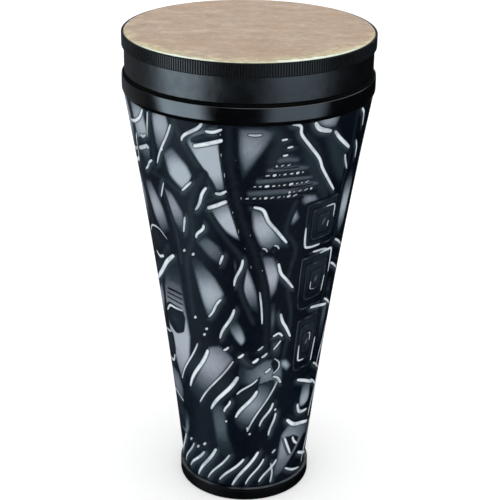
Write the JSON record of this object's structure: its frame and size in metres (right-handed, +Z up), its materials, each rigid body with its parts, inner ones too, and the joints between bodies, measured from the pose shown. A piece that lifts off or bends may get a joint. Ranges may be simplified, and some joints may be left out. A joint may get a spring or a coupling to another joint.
{
  "type": "conical hand drum",
  "caption": "Tall conical hand drum: a bowed, tapering fibre shell in a printed wrap, with a moulded collar, a rubber foot and a film head on its own hoop that lifts off.",
  "frame": {"origin": "middle of the foot ring's underside, on the floor", "axes": "+Z up along the drum's axis towards the playing head; X and Y are equivalent"},
  "size_m": [0.3376, 0.3376, 0.6713],
  "materials": {
    "foot_rubber": "matte moulded rubber",
    "shell_fibre": "wound fibre tube, sealed",
    "printed_cloth": "printed cloth under a satin coat",
    "collar_plastic": "gloss black",
    "gasket_rubber": "matte",
    "pad_rubber": "matte",
    "hoop_fibre": "pressed fibre, sealed",
    "facing_film": "satin charcoal",
    "head_film": "suede textured film",
    "tape_webbing": "ribbed webbing",
    "sleeve_plastic": "moulded, satin"
  },
  "bodies": {
    "shell": {"foot_ring": "foot_rubber", "shell_core": "shell_fibre", "shell_wrap": "printed_cloth", "collar_ring": "collar_plastic", "seat_gasket": "gasket_rubber", "grip_pad_1": "pad_rubber", "grip_pad_2": "pad_rubber", "grip_pad_3": "pad_rubber", "grip_pad_4": "pad_rubber"},
    "head": {"rim_hoop": "hoop_fibre", "rim_facing": "facing_film", "head_film": "head_film", "head_tape": "tape_webbing", "locating_sleeve": "sleeve_plastic"}
  },
  "joints": [
    {"name": "head_lift", "type": "slide", "parent": "shell", "child": "head", "axis": [0, 0, 1], "range_m": [0, 0.1]}
  ]
}
